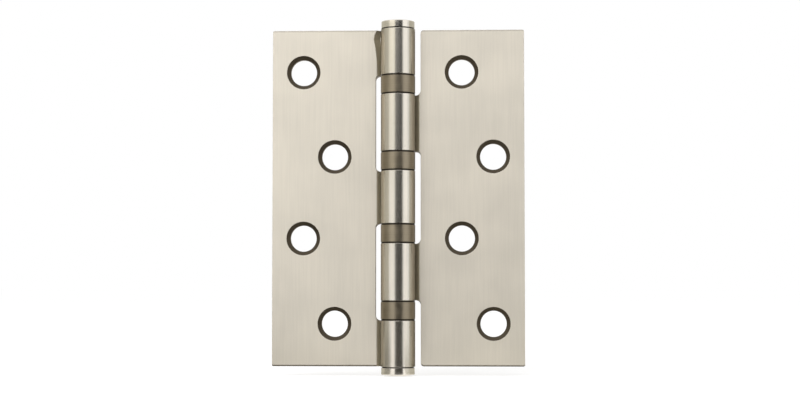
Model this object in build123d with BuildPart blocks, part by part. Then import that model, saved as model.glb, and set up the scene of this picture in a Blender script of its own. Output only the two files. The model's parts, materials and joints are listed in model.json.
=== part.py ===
from build123d import *

import math
import os

# Ball bearing butt hinge, opened flat, in millimetres. The pin axis is Z and the origin is
# the middle of the pin. The frame leaf reaches to -X and the door leaf to +X, and both
# countersunk faces look to -Y.

# Leaves
leaf_height = 101.6
open_width = 76.2
leaf_thickness = 2.5
outer_corner_radius = 0.5

# Barrel
knuckle_radius = 5.2
closed_gap = 2.0
end_knuckle_length = 13.75
middle_knuckle_length = 15.8
bearing_height = 6.05
roll_seam = 0.2

# Bends that bring each leaf from the barrel forward to its plate: how far past the barrel
# each face reaches its plate, and over what width it gets there
neck_front_gap = 1.2
neck_front_run = 1.8
neck_front_radius = 0.7
neck_back_gap = 2.2
neck_back_run = 2.3
neck_back_radius = 2.0

# How much wider the frame leaf's bend gets up the top knuckle, how far below the leaf's top it
# is widest, and how sharply it widens. Above that it rounds back in to the leaf's top.
neck_flare = 1.0
flare_drop = 2.7
flare_power = 2.5
flare_overlap = 0.05

# Notches that clear the other leaf's knuckles
notch_gap = 1.6
notch_corner_radius = 1.45
free_corner_radius = 0.95

# Countersunk screw holes, four to a leaf, zigzag in two columns
screw_hole_radius = 3.95
screw_mouth_radius = 5.1
screw_mouth_angle = 90
hole_edge_distance = 9.4
hole_column_step = 9.5
hole_end_distance = 12.75
hole_row_inner = 12.35

# Pin and end buttons
pin_clearance = 0.05
pin_end_play = 0.1
pin_end_chamfer = 0.4
button_inset = 0.12
button_seat_gap = 0.35
button_rim_height = 2.45
button_crown_height = 0.4
button_edge_break = 0.2
button_spigot_length = 3.0
button_fit = 0.01

# Thrust bearings, each a ring of loose balls between two flat races in a pressed sleeve
ball_side_clearance = 0.075
ball_end_clearance = 0.02
ball_spacing = 1.0
race_pin_clearance = 0.1
race_running_clearance = 0.05
race_fit = 0.01
sleeve_wall = 0.5
sleeve_end_gap = 0.5

# Sizes that follow from those above
half_width = open_width / 2
half_height = leaf_height / 2
front_y = closed_gap / 2
back_y = front_y + leaf_thickness
bore_radius = knuckle_radius - leaf_thickness
pin_radius = bore_radius - pin_clearance
seam_y = bore_radius - roll_seam
notch_reach = knuckle_radius + notch_gap
notch_width = notch_reach + 2 * knuckle_radius
neck_front_end = knuckle_radius + neck_front_gap
neck_back_end = knuckle_radius + neck_back_gap
far_column = half_width - hole_edge_distance
near_column = far_column - hole_column_step
hole_row_outer = half_height - hole_end_distance

# Heights where the knuckles above the middle begin and end
end_knuckle_foot = half_height - end_knuckle_length
door_knuckle_top = end_knuckle_foot - bearing_height
middle_knuckle_top = middle_knuckle_length / 2
door_knuckle_foot = middle_knuckle_top + bearing_height

# Notches and holes of each leaf, as heights and as points (distance from the pin, height)
past_end = half_height + 2 * notch_corner_radius
frame_notches = [
    (middle_knuckle_top, end_knuckle_foot),
    (-end_knuckle_foot, -middle_knuckle_top),
]
door_notches = [
    (door_knuckle_top, past_end),
    (-door_knuckle_foot, door_knuckle_foot),
    (-past_end, -door_knuckle_top),
]
frame_holes = [
    (far_column, hole_row_outer),
    (near_column, hole_row_inner),
    (far_column, -hole_row_inner),
    (near_column, -hole_row_outer),
]
door_holes = [
    (near_column, hole_row_outer),
    (far_column, hole_row_inner),
    (near_column, -hole_row_inner),
    (far_column, -hole_row_outer),
]

# Bearings from the top down
upper_middle = (end_knuckle_foot + door_knuckle_top) / 2
lower_middle = (door_knuckle_foot + middle_knuckle_top) / 2
bearing_middles = [upper_middle, lower_middle, -lower_middle, -upper_middle]
race_inner_radius = pin_radius + race_pin_clearance
sleeve_inner_radius = knuckle_radius - sleeve_wall
running_race_radius = sleeve_inner_radius - race_running_clearance
pressed_race_radius = sleeve_inner_radius - race_fit
ball_circle_radius = (race_inner_radius + sleeve_inner_radius) / 2
ball_radius = (sleeve_inner_radius - race_inner_radius) / 2 - ball_side_clearance
ball_count = int(2 * math.pi * ball_circle_radius / (2 * ball_radius + ball_spacing))
sleeve_end = bearing_height / 2 - sleeve_end_gap
race_end = bearing_height / 2
race_face = ball_radius + ball_end_clearance

os.makedirs("parts", exist_ok=True)


def keep(piece, name):
    """Label a finished piece and write it to its own file."""
    piece.part.label = name
    export_step(piece.part, "parts/" + name + ".step")


def leaf_outline():
    """Section of the +X leaf: plate, set-back neck, and barrel rolled round to its seam."""
    tip_outer_angle = math.degrees(math.asin(seam_y / knuckle_radius))
    tip_inner_angle = math.degrees(math.asin(seam_y / bore_radius))
    FilletPolyline(
        (half_width, back_y),
        (neck_back_end, back_y),
        (neck_back_end - neck_back_run, knuckle_radius),
        (0, knuckle_radius),
        radius=neck_back_radius,
    )
    outside = CenterArc((0, 0), knuckle_radius, 90, 270 + tip_outer_angle)
    inside = CenterArc((0, 0), bore_radius, 90, 270 + tip_inner_angle)
    Line(outside @ 1, inside @ 1)
    FilletPolyline(
        (0, bore_radius),
        (neck_front_end - neck_front_run, bore_radius),
        (neck_front_end, front_y),
        (half_width, front_y),
        radius=neck_front_radius,
    )
    Line((half_width, front_y), (half_width, back_y))


def make_leaf(side, notches, holes):
    """One leaf in one piece of sheet, reaching to +X when side is 1 and to -X when it is -1."""
    with BuildPart() as leaf:
        with BuildSketch(Plane.XY.offset(-half_height)):
            with BuildLine():
                leaf_outline()
            make_face()
            if side < 0:
                mirror(about=Plane.YZ, mode=Mode.REPLACE)
        extrude(amount=leaf_height)

        # Notches for the other leaf's knuckles
        with BuildSketch(Plane.XZ):
            for low, high in notches:
                with Locations((side * (notch_reach - notch_width / 2), (low + high) / 2)):
                    RectangleRounded(notch_width, high - low, notch_corner_radius)
        extrude(amount=2 * knuckle_radius, both=True, mode=Mode.SUBTRACT)

        # Rounded corners of the plate
        upright = leaf.edges().filter_by(Axis.Y)
        plate_ends = [upright.group_by(Axis.Z)[0], upright.group_by(Axis.Z)[-1]]
        outer = [end.sort_by(Axis.X)[-1 if side > 0 else 0] for end in plate_ends]
        inner = [end.sort_by(Axis.X)[0] for end in plate_ends if len(end) > 1]
        fillet(outer, outer_corner_radius)
        if inner:
            fillet(inner, free_corner_radius)

        # Screw holes
        with Locations(Plane.XZ.offset(-front_y)):
            with Locations([(side * x, z) for x, z in holes]):
                CounterSinkHole(
                    screw_hole_radius, screw_mouth_radius, counter_sink_angle=screw_mouth_angle
                )
    return leaf


def make_button(end):
    """Crowned button pressed into the barrel's top when end is 1 and its foot when it is -1.

    Its head stops short of the knuckle, which leaves a dark groove. The crown follows a
    shallow dome in two cones: halfway in it has risen three quarters.
    """
    seat = Plane(origin=(0, 0, end * half_height), x_dir=(1, 0, 0), z_dir=(0, -end, 0))
    rim_radius = knuckle_radius - button_inset
    crown_radius = rim_radius - button_edge_break
    spigot_radius = bore_radius - button_fit
    with BuildPart() as button:
        with BuildSketch(seat):
            with BuildLine():
                Polyline(
                    (0, button_rim_height + button_crown_height),
                    (0, -button_spigot_length),
                    (spigot_radius, -button_spigot_length),
                    (spigot_radius, button_seat_gap),
                    (rim_radius, button_seat_gap),
                    (rim_radius, button_rim_height - button_edge_break),
                    (crown_radius, button_rim_height),
                    (crown_radius / 2, button_rim_height + button_crown_height * 3 / 4),
                    close=True,
                )
            make_face()
        revolve(axis=Axis.Z)
    return button


def make_tube(middle, low, high, inner_radius, outer_radius):
    """Plain tube round the pin, with its ends given from a bearing's mid height."""
    with BuildPart() as tube:
        with BuildSketch(Plane.XY.offset(middle + low)):
            Circle(outer_radius)
            Circle(inner_radius, mode=Mode.SUBTRACT)
        extrude(amount=high - low)
    return tube


def make_balls(middle):
    """Ring of loose balls, each cut to eighteen flats from a small block."""
    width = 2 * ball_radius
    with BuildPart() as ball:
        Box(width, width, width)
        for turn in ((45, 0, 0), (0, 45, 0), (0, 0, 45)):
            Box(width, width, width, rotation=turn, mode=Mode.INTERSECT)
    with BuildPart(Plane.XY.offset(middle)) as balls:
        with PolarLocations(ball_circle_radius, ball_count):
            add(ball)
    return balls


# Frame leaf, with the slant of its bend cut back beside the top knuckle
flare_rise = bore_radius - front_y
flare_peak = half_height - flare_drop
flare_sections = []
for share in (0, 0.4, 0.6, 0.8, 1):
    height = end_knuckle_foot + share * (flare_peak - end_knuckle_foot)
    flare_sections.append((height, neck_flare * share**flare_power))
for share in (0.5, 0.8, 1):
    flare_sections.append((flare_peak + share * flare_drop, neck_flare * (1 - share**2)))
with BuildPart() as frame_leaf:
    add(make_leaf(-1, frame_notches, frame_holes))
    for height, flare in flare_sections:
        with BuildSketch(Plane.XY.offset(height)):
            with BuildLine():
                Polyline(
                    (-neck_front_end - neck_front_run - flare, front_y - flare_rise),
                    (neck_front_run - neck_front_end - flare, bore_radius),
                    (neck_front_run - neck_front_end + flare_overlap, bore_radius),
                    (-neck_front_end - neck_front_run + flare_overlap, front_y - flare_rise),
                    close=True,
                )
            make_face()
    loft(ruled=True, mode=Mode.SUBTRACT)
keep(frame_leaf, "frame_leaf")

# Door leaf
door_leaf = make_leaf(1, door_notches, door_holes)
keep(door_leaf, "door_leaf")

# Hinge pin, held end to end between the button spigots
pin_length = 2 * (half_height - button_spigot_length - pin_end_play)
with BuildPart() as hinge_pin:
    Cylinder(pin_radius, pin_length)
    chamfer(hinge_pin.edges().filter_by(GeomType.CIRCLE), pin_end_chamfer)
keep(hinge_pin, "hinge_pin")

# Buttons
keep(make_button(1), "top_button")
keep(make_button(-1), "bottom_button")

# Bearings, numbered from the top
for number, middle in enumerate(bearing_middles, start=1):
    bearing = "bearing_" + str(number)
    sleeve = make_tube(middle, -sleeve_end, sleeve_end, sleeve_inner_radius, knuckle_radius)
    keep(sleeve, bearing + "_sleeve")
    upper_race = make_tube(middle, race_face, race_end, race_inner_radius, running_race_radius)
    keep(upper_race, bearing + "_upper_race")
    lower_race = make_tube(middle, -race_end, -race_face, race_inner_radius, pressed_race_radius)
    keep(lower_race, bearing + "_lower_race")
    keep(make_balls(middle), bearing + "_balls")
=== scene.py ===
import json
import math

import bmesh
import bpy
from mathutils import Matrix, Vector


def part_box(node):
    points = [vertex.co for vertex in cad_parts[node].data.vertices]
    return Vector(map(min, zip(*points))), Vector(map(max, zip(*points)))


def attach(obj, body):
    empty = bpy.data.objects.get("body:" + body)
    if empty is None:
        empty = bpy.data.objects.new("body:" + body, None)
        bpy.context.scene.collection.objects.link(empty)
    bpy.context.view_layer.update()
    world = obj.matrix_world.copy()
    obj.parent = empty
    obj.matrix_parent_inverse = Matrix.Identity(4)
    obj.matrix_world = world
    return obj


# Looks of a ball bearing butt hinge, opened flat, in metres. The pin axis is Z, the frame
# leaf reaches to -X, the door leaf to +X, and the countersunk faces look to -Y.

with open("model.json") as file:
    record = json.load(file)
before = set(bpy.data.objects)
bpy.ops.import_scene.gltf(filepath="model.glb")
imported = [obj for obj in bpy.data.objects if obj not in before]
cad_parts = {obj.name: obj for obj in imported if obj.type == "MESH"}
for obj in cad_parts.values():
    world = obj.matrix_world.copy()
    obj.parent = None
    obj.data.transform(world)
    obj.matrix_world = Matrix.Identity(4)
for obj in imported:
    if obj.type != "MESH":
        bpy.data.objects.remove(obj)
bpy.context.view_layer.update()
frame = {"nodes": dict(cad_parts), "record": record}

MM = 0.001

# Camera, with its lens in millimetres on a sensor 36 mm wide
camera_place = Vector((21.9, -517.8, -28.2)) * MM
camera_aim = Vector((0.6, 0.0, -0.8)) * MM
camera_lens = 77.5
camera_near = 10 * MM

# Parts of the bearings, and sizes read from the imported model
bearings = ["bearing_" + str(number) for number in range(1, 5)]
race_ends = ("_upper_race", "_lower_race")
barrel_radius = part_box("bearing_1_sleeve")[1].x
foot_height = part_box("bottom_button")[0].z
leaf_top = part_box("frame_leaf")[1].z

# Noise mostly lies between these, which are mapped to the ends of a range
noise_middle = (0.3, 0.7)

# Leaf steel, then the colours over it: painted shade along edges that round over to look down,
# painted light on the bends' slanting faces in front, painted shade on faces that look sideways,
# and in the countersinks a darker finish with a painted dark reflection
leaf_colour = (0.685, 0.642, 0.565)
edge_shade_colour = (0.12, 0.1, 0.07)
slant_light_colour = (0.8, 0.75, 0.61)
side_shade_colour = (0.3, 0.262, 0.2)
sink_finish_and_shade_colour = (0.11, 0.09, 0.065)

# Leaf finish: an upright grain in two widths over slow clouds, with soft edges
barrel_roughness = 0.24
plate_roughness = (0.58, 0.62)
grain_width = 0.5 * MM
fine_grain_width = 0.12 * MM
fine_grain_share = 0.5
grain_squeeze = (1.0, 1.0, 0.03)
grain_depth = 0.004 * MM
grain_tone = (0.98, 1.02)
leaf_cloud_size = 14 * MM
leaf_cloud_tone = (-0.03, 0.03)
leaf_edge = 0.2 * MM

# How squarely the sideways faces, which get painted shade, and the slanting faces look to the
# front or back, from fully to not at all, and the tilt and width of edges that round over, whose
# painted shade shows less where they look up
side_shade_facing = (0.35, 0.8)
slant_facing = (0.82, 0.95)
edge_tilt = (0.08, 0.35)
edge_width = 1.0 * MM
upper_edge_share = 0.3

# Places on a leaf: where the finish turns to the plate's past the barrel, how far the notches
# and the holes lie from the pin, and how deep the strips at the leaf's top and foot are
plate_from, plate_to = 0.1 * MM, 0.5 * MM
notch_reach = 10 * MM
holes_from, holes_to = 12 * MM, 36 * MM
end_depth = 2 * MM

# Turned metals: colour, roughness, width of the turned rings, depth of their bump, and the
# radius over which edges look soft
turned_metals = {
    "button_steel": ((0.77, 0.725, 0.645), 0.2, 0.15 * MM, 0.002 * MM, 0.1 * MM),
    "sleeve_steel": ((0.274, 0.233, 0.171), 0.34, 0.2 * MM, 0.004 * MM, 0.1 * MM),
    # Race steel, near-black: dark steel whose colour also paints the shade in the gaps at the
    # sleeves' ends
    "race_steel": ((0.12, 0.1, 0.08), 0.4, 0.1 * MM, 0.001 * MM, 0.05 * MM),
    "pin_steel": ((0.6, 0.58, 0.55), 0.3, 0.2 * MM, 0.002 * MM, 0.1 * MM),
    # Near-black for the rings in the barrel's gaps: painted shade
    "painted_gap_shade": ((0.04, 0.033, 0.026), 0.5, 0.1 * MM, 0.001 * MM, 0.05 * MM),
}
turned_ring_tone = (0.93, 1.07)
turned_cloud_size = 3 * MM
turned_cloud_tone = (-0.05, 0.05)
turned_roughness_span = (0.9, 1.1)

# Ball steel, with a faint mottle
ball_colour = (0.75, 0.75, 0.76)
ball_tone = (0.95, 1.03)
ball_roughness = (0.08, 0.14)
ball_mottle_size = 0.4 * MM
ball_depth = 0.001 * MM
ball_edge = 0.05 * MM

# Near-black rings that fill the barrel's gaps as painted shade: clearance at both ends, rounding,
# and steps of a full turn
ring_clearance = 0.03 * MM
ring_round = 0.05 * MM
ring_steps = 72

# Painted shade rings between sleeves and knuckles, near-black in that gap: how far they end inside
# the barrel and reach into a race
shade_ring_inset = 0.15 * MM
shade_ring_overlap = 0.05 * MM

# Painted shade rings under the buttons' heads, near-black in that gap: height of that gap, how far
# they end inside the head, and the radius of the spigot that they go round
seat_gap = 0.35 * MM
seat_ring_inset = 0.3 * MM
spigot_radius = 2.7 * MM

# Surround, as radiance with 1 for white
surround_level = 0.7

# Floor: half its width, how far it lies below the hinge, its paint, and its glow for the
# camera and in the steel, which rises from near the hinge to further off
floor_reach = 30.0
floor_drop = 0.05 * MM
floor_paint = (0.6, 0.6, 0.6, 1.0)
floor_near, floor_far = 0.15, 1.0
near_glow, far_glow = 0.56, 0.58

# Softboxes: place, width, height and level as radiance
softboxes = {
    "key_softbox": ((-0.33, -0.85, 0.5), 1.3, 0.3, 6.3),
    "right_softbox": ((0.7, -0.6, 0.1), 0.6, 0.8, 0.25),
}

# Profiles of the cards, from the hinge outwards, as distances from the pin and heights. Tall
# ones lie on the floor and then stand up, and foot, near and far ones lie a little over them.
card_tint = (1.0, 0.97, 0.85)
card_height = foot_height + 0.2 * MM
upper_card_height = card_height + 0.1 * MM
card_distance = 0.9
card_top = 0.6
tall_profile = [(0.006, card_height), (card_distance, card_height), (card_distance, card_top)]
lying_profile = [(0.012, card_height), (card_distance, card_height)]
standing_profile = [(card_distance, card_height), (card_distance, card_top)]
high_profile = [(card_distance, 0.1), (card_distance, card_top)]
foot_profile = [(0.008, upper_card_height), (0.14, upper_card_height)]
near_profile = [(0.008, upper_card_height), (0.05, upper_card_height)]
far_profile = [(0.05, upper_card_height), (0.2, upper_card_height)]

# Cards: both sides in degrees round the pin from the front, profile, and level as radiance
cards = {
    "front_card": (-18, 34, standing_profile, 0.0),
    "front_low_card": (-18, 34, lying_profile, 0.065),
    "left_high_card": (-60, -18, high_profile, 0.9),
    "left_card": (-150, -60, tall_profile, 0.57),
    "right_card": (82, 152, tall_profile, 0.55),
    "left_near_card": (-95, -44, near_profile, 0.4),
    "left_far_card": (-95, -44, far_profile, 0.03),
    "right_foot_card": (45, 95, foot_profile, 0.55),
}


class Nodes:
    """Short calls that add and join shader nodes in one node tree."""

    def __init__(self, tree):
        self.tree = tree
        tree.nodes.clear()

    def add(self, kind, settings=None, **inputs):
        """A node with its settings and inputs, where an input is a value or another socket."""
        node = self.tree.nodes.new(kind)
        for name, value in (settings or {}).items():
            setattr(node, name, value)
        for name, value in inputs.items():
            self.put(node.inputs[name.replace("_", " ")], value)
        return node

    def put(self, socket, value):
        if isinstance(value, bpy.types.NodeSocket):
            self.tree.links.new(value, socket)
        else:
            socket.default_value = value

    def math(self, operation, *values):
        node = self.tree.nodes.new("ShaderNodeMath")
        node.operation = operation
        for socket, value in zip(node.inputs, values):
            self.put(socket, value)
        return node.outputs[0]

    def scaled(self, vector, factors):
        """The vector with each part times its own factor."""
        node = self.tree.nodes.new("ShaderNodeVectorMath")
        node.operation = "MULTIPLY"
        self.put(node.inputs[0], vector)
        self.put(node.inputs[1], factors)
        return node.outputs["Vector"]

    def length(self, vector):
        node = self.tree.nodes.new("ShaderNodeVectorMath")
        node.operation = "LENGTH"
        self.put(node.inputs[0], vector)
        return node.outputs["Value"]

    def part(self, vector, axis):
        """The X, Y or Z of a vector."""
        return self.add("ShaderNodeSeparateXYZ", Vector=vector).outputs[axis]

    def spread(self, value, low, high, to_low, to_high):
        """Maps value from low..high to to_low..to_high, held at the ends and smooth between."""
        node = self.tree.nodes.new("ShaderNodeMapRange")
        node.interpolation_type = "SMOOTHSTEP"
        for socket, number in zip(node.inputs, (value, low, high, to_low, to_high)):
            self.put(socket, number)
        return node.outputs[0]

    def noise(self, vector, size, detail=2.0):
        """Noise from 0 to 1 whose lumps are about size metres across."""
        node = self.add("ShaderNodeTexNoise", Vector=vector, Scale=1 / size, Detail=detail)
        return node.outputs["Fac"]

    def vary(self, noise, low, high):
        """Maps the middle of a noise to low..high."""
        return self.spread(noise, *noise_middle, low, high)

    def blend(self, share, first, second):
        """From the colour of socket first, where share is 0, to colour second, where it is 1."""
        node = self.tree.nodes.new("ShaderNodeMix")
        node.data_type = "RGBA"
        self.put(node.inputs["Factor"], share)
        self.put(node.inputs[6], first)
        self.put(node.inputs[7], (*second, 1.0))
        return node.outputs[2]

    def tint(self, colour, factor):
        """The colour times a factor."""
        node = self.tree.nodes.new("ShaderNodeVectorMath")
        node.operation = "SCALE"
        self.put(node.inputs[0], colour)
        self.put(node.inputs["Scale"], factor)
        return node.outputs["Vector"]

    def backdrop_seen(self):
        """1 for the rays that show a backdrop: to the camera, mirrored, or through glass."""
        path = self.add("ShaderNodeLightPath").outputs
        direct = self.math("MAXIMUM", path["Is Camera Ray"], path["Is Glossy Ray"])
        return self.math("MAXIMUM", direct, path["Is Transmission Ray"])


def new_material(name):
    material = bpy.data.materials.new(name)
    material.use_nodes = True
    return material, Nodes(material.node_tree)


def close_metal(nodes, colour, roughness, height, depth, edge):
    """Ends a metal's nodes: bump of that depth on edges softened over that radius."""
    soft_edge = nodes.add("ShaderNodeBevel", {"samples": 6}, Radius=edge)
    bump = nodes.add("ShaderNodeBump", Distance=depth, Height=height,
                     Normal=soft_edge.outputs["Normal"])
    metal = nodes.add("ShaderNodeBsdfPrincipled", Metallic=1.0, Base_Color=colour,
                      Roughness=roughness, Normal=bump.outputs["Normal"])
    nodes.add("ShaderNodeOutputMaterial", Surface=metal.outputs["BSDF"])


def leaf_material():
    """Satin steel with an upright grain, smoother on the barrel; painted shade on edges that look
    down and on faces that look sideways, painted light on the slanting faces, and a darker finish
    with a painted dark reflection in the countersinks.
    """
    material, nodes = new_material("leaf_steel")
    place = nodes.add("ShaderNodeTexCoord").outputs
    point = place["Object"]
    from_pin = nodes.math("ABSOLUTE", nodes.part(point, "X"))
    height = nodes.math("ABSOLUTE", nodes.part(point, "Z"))

    # 0 on the barrel and 1 on the plates
    reach = nodes.length(nodes.scaled(point, (1.0, 1.0, 0.0)))
    plate = nodes.spread(reach, barrel_radius + plate_from, barrel_radius + plate_to, 0.0, 1.0)

    # Grain drawn out along the height, in two widths, over slow clouds
    upright = nodes.scaled(point, grain_squeeze)
    grain = nodes.noise(upright, grain_width, detail=3.0)
    fine = nodes.noise(upright, fine_grain_width, detail=1.0)
    cloud = nodes.noise(point, leaf_cloud_size)

    # 1 on faces that look sideways, the plates' cut edges and the barrel's sides and ends, for
    # painted shade; and on the plates' slanting faces in front, for painted light
    turned = nodes.part(place["Normal"], "Y")
    facing = nodes.math("ABSOLUTE", turned)
    side_shade = nodes.spread(facing, *side_shade_facing, 1.0, 0.0)
    in_front = nodes.math("LESS_THAN", turned, 0.0)
    slant = nodes.math("MULTIPLY", nodes.spread(facing, *slant_facing, 1.0, 0.0), plate)
    slant = nodes.math("MULTIPLY", slant, in_front)

    # 1 in the countersinks, which lie past the bends and away from the leaf's edge and ends
    past_bends = nodes.math("GREATER_THAN", from_pin, holes_from)
    before_edge = nodes.math("LESS_THAN", from_pin, holes_to)
    at_end = nodes.math("GREATER_THAN", height, leaf_top - end_depth)
    by_holes = nodes.math("MULTIPLY", past_bends, before_edge)
    by_holes = nodes.math("MULTIPLY", by_holes, nodes.math("SUBTRACT", 1.0, at_end))
    sink = nodes.math("MULTIPLY", slant, by_holes)

    # 1 along the plate's edges that round over to look down, and less on those that look up, for
    # painted shade
    rounded = nodes.add("ShaderNodeBevel", {"samples": 8}, Radius=edge_width).outputs["Normal"]
    tilt = nodes.part(rounded, "Z")
    below = nodes.spread(nodes.math("MULTIPLY", tilt, -1.0), *edge_tilt, 0.0, 1.0)
    above = nodes.spread(tilt, *edge_tilt, 0.0, upper_edge_share)
    at_edge = nodes.math("MAXIMUM", at_end, nodes.math("LESS_THAN", from_pin, notch_reach))
    edge = nodes.math("MULTIPLY", nodes.math("MULTIPLY", at_edge, plate),
                      nodes.math("MAXIMUM", below, above))

    tone = nodes.math("ADD", nodes.vary(grain, *grain_tone), nodes.vary(cloud, *leaf_cloud_tone))
    colour = nodes.tint(leaf_colour, tone)
    # Painted shade along edges that round over to look down
    colour = nodes.blend(edge, colour, edge_shade_colour)
    # Painted light: the bends' slanting faces in front made lighter
    colour = nodes.blend(slant, colour, slant_light_colour)
    # Painted shade on faces that look sideways: plate edges, barrel sides and knuckle ends
    colour = nodes.blend(side_shade, colour, side_shade_colour)
    # Countersinks: a darker finish with a painted dark reflection
    colour = nodes.blend(sink, colour, sink_finish_and_shade_colour)
    rougher = nodes.math("SUBTRACT", nodes.vary(cloud, *plate_roughness), barrel_roughness)
    roughness = nodes.math("MULTIPLY_ADD", rougher, plate, barrel_roughness)
    relief = nodes.math("ADD", grain, nodes.math("MULTIPLY", fine, fine_grain_share))
    close_metal(nodes, colour, roughness, relief, grain_depth, leaf_edge)
    return material


def turned_material(name):
    """Steel turned on a lathe: fine rings round the pin axis over slow clouds."""
    steel, roughness, ring, depth, edge = turned_metals[name]
    material, nodes = new_material(name)
    point = nodes.add("ShaderNodeTexCoord").outputs["Object"]
    reach = nodes.length(nodes.scaled(point, (1.0, 1.0, 0.0)))
    along = nodes.add("ShaderNodeCombineXYZ", X=reach, Y=nodes.part(point, "Z"))
    rings = nodes.noise(along.outputs["Vector"], ring, detail=3.0)
    cloud = nodes.noise(point, turned_cloud_size)
    tone = nodes.math("ADD", nodes.vary(rings, *turned_ring_tone),
                      nodes.vary(cloud, *turned_cloud_tone))
    smoothest, roughest = [roughness * share for share in turned_roughness_span]
    shade = nodes.vary(cloud, smoothest, roughest)
    close_metal(nodes, nodes.tint(steel, tone), shade, rings, depth, edge)
    return material


def ball_material():
    """Polished ball steel with a faint mottle."""
    material, nodes = new_material("ball_steel")
    point = nodes.add("ShaderNodeTexCoord").outputs["Object"]
    mottle = nodes.noise(point, ball_mottle_size, detail=3.0)
    colour = nodes.tint(ball_colour, nodes.vary(mottle, *ball_tone))
    close_metal(nodes, colour, nodes.vary(mottle, *ball_roughness), mottle, ball_depth, ball_edge)
    return material


def dress(material, names):
    """Gives CAD nodes a material."""
    for name in names:
        node = frame["nodes"][name]
        if not node.material_slots:
            node.data.materials.append(material)
        for slot in node.material_slots:
            slot.material = material


def body_of(node):
    """The body that a CAD node belongs to."""
    bodies = frame["record"]["behaviour"]["bodies"]
    return next(name for name, nodes in bodies.items() if node in nodes)


def add_ring(name, material, body, foot, top, inner, outer):
    """Ring round the pin with rounded outer edges, which fills the gap from foot to top."""
    foot = foot + ring_clearance
    top = top - ring_clearance
    profile = [
        (inner, foot), (outer - ring_round, foot), (outer, foot + ring_round),
        (outer, top - ring_round), (outer - ring_round, top), (inner, top),
    ]
    mesh = bpy.data.meshes.new(name)
    shape = bmesh.new()
    sides = []
    for step in range(ring_steps):
        turn = 2 * math.pi * step / ring_steps
        sides.append([shape.verts.new((reach * math.cos(turn), reach * math.sin(turn), height))
                      for reach, height in profile])
    for here, there in zip(sides, sides[1:] + sides[:1]):
        for first in range(len(profile)):
            second = (first + 1) % len(profile)
            shape.faces.new((here[first], there[first], there[second], here[second]))
    bmesh.ops.recalc_face_normals(shape, faces=shape.faces)
    shape.to_mesh(mesh)
    shape.free()
    ring = bpy.data.objects.new(name, mesh)
    bpy.context.scene.collection.objects.link(ring)
    mesh.materials.append(material)
    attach(ring, body)


def add_rims(material):
    """A near-black ring round each race, between the sleeve's end and the knuckle: painted shade
    in that gap.
    """
    for bearing in bearings:
        sleeve_foot, sleeve_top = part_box(bearing + "_sleeve")
        for end in race_ends:
            race_foot, race_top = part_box(bearing + end)
            if end == "_upper_race":
                foot, top = sleeve_top.z, race_top.z
            else:
                foot, top = race_foot.z, sleeve_foot.z
            add_ring(bearing + end + "_gap_shade_ring", material, body_of(bearing + end), foot, top,
                     race_top.x - shade_ring_overlap, barrel_radius - shade_ring_inset)


def add_collars(material):
    """A near-black ring under each button's head, round its spigot: painted shade in that gap."""
    for button, end in (("top_button", 1), ("bottom_button", -1)):
        head_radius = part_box(button)[1].x
        foot, top = sorted((end * leaf_top, end * (leaf_top + seat_gap)))
        add_ring(button + "_seat_shade_ring", material, body_of(button), foot, top,
                 spigot_radius, head_radius - seat_ring_inset)


def add_camera():
    camera = bpy.data.objects.new("camera", bpy.data.cameras.new("camera"))
    bpy.context.scene.collection.objects.link(camera)
    camera.data.lens = camera_lens
    camera.data.clip_start = camera_near
    camera.location = camera_place
    camera.rotation_euler = (camera_aim - camera_place).to_track_quat("-Z", "Y").to_euler()
    bpy.context.scene.camera = camera


def add_softbox(name, place, width, height, level):
    """Area light that faces the hinge, with its level as radiance."""
    light = bpy.data.lights.new(name, "AREA")
    light.shape = "RECTANGLE"
    light.size = width
    light.size_y = height
    light.energy = level * math.pi * width * height
    softbox = bpy.data.objects.new(name, light)
    bpy.context.scene.collection.objects.link(softbox)
    softbox.location = place
    softbox.rotation_euler = (-softbox.location).to_track_quat("-Z", "Y").to_euler()


def around(degrees, distance, height):
    """The point that many degrees round the pin from the front, at that distance and height."""
    turn = math.radians(degrees)
    return (distance * math.sin(turn), -distance * math.cos(turn), height)


def add_card(name, left, right, profile, level):
    """Glowing card that only the steel mirrors, between two directions round the pin."""
    mesh = bpy.data.meshes.new(name)
    shape = bmesh.new()
    edges = []
    for degrees in (left, right):
        edges.append([shape.verts.new(around(degrees, distance, height))
                      for distance, height in profile])
    for first in range(len(profile) - 1):
        shape.faces.new((edges[0][first], edges[1][first], edges[1][first + 1],
                         edges[0][first + 1]))
    shape.to_mesh(mesh)
    shape.free()
    card = bpy.data.objects.new(name, mesh)
    bpy.context.scene.collection.objects.link(card)
    card.visible_camera = False
    card.visible_diffuse = False
    card.visible_shadow = False
    material, nodes = new_material(name)
    glow_colour = [level * share for share in card_tint]
    glow = nodes.add("ShaderNodeEmission", Color=(*glow_colour, 1.0), Strength=1.0)
    nodes.add("ShaderNodeOutputMaterial", Surface=glow.outputs[0])
    mesh.materials.append(material)


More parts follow.
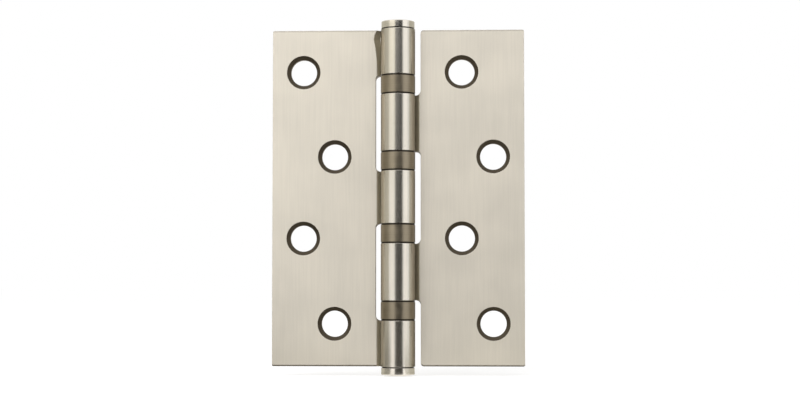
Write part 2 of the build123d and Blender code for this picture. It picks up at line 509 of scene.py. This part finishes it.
def add_world():
    """Even surround, white to the camera and in the steel."""
    world = bpy.data.worlds.new("studio")
    world.use_nodes = True
    bpy.context.scene.world = world
    nodes = Nodes(world.node_tree)
    level = nodes.math("MULTIPLY_ADD", nodes.backdrop_seen(), 1.0 - surround_level, surround_level)
    surround = nodes.add("ShaderNodeBackground", Color=(1.0, 1.0, 1.0, 1.0), Strength=level)
    nodes.add("ShaderNodeOutputWorld", Surface=surround.outputs["Background"])


def add_floor():
    """Plain pale floor under the hinge, white to the camera except for the soft shadow."""
    mesh = bpy.data.meshes.new("floor")
    shape = bmesh.new()
    bmesh.ops.create_grid(shape, x_segments=1, y_segments=1, size=floor_reach)
    shape.to_mesh(mesh)
    shape.free()
    floor = bpy.data.objects.new("floor", mesh)
    floor.location.z = foot_height - floor_drop
    bpy.context.scene.collection.objects.link(floor)
    material, nodes = new_material("floor")
    paint = nodes.add("ShaderNodeBsdfDiffuse", Color=floor_paint)
    distance = nodes.length(nodes.add("ShaderNodeTexCoord").outputs["Object"])
    white = nodes.spread(distance, floor_near, floor_far, near_glow, far_glow)
    glow = nodes.add("ShaderNodeEmission", Color=(1.0, 1.0, 1.0, 1.0),
                     Strength=nodes.math("MULTIPLY", nodes.backdrop_seen(), white))
    both = nodes.add("ShaderNodeAddShader")
    nodes.put(both.inputs[0], paint.outputs[0])
    nodes.put(both.inputs[1], glow.outputs[0])
    nodes.add("ShaderNodeOutputMaterial", Surface=both.outputs[0])
    mesh.materials.append(material)


# Finishes of the CAD nodes
dress(leaf_material(), ["frame_leaf", "door_leaf"])
dress(turned_material("button_steel"), ["top_button", "bottom_button"])
dress(turned_material("sleeve_steel"), [bearing + "_sleeve" for bearing in bearings])
dress(turned_material("race_steel"), [bearing + end for bearing in bearings for end in race_ends])
dress(turned_material("pin_steel"), ["hinge_pin"])
dress(ball_material(), [bearing + "_balls" for bearing in bearings])

# Near-black rings that close the barrel's gaps: painted shade
painted_gap_shade = turned_material("painted_gap_shade")
add_rims(painted_gap_shade)
add_collars(painted_gap_shade)

# Studio
bpy.context.scene.view_settings.view_transform = "Standard"
add_floor()
add_world()
for name, (place, width, height, level) in softboxes.items():
    add_softbox(name, place, width, height, level)
for name, (left, right, profile, level) in cards.items():
    add_card(name, left, right, profile, level)
add_camera()
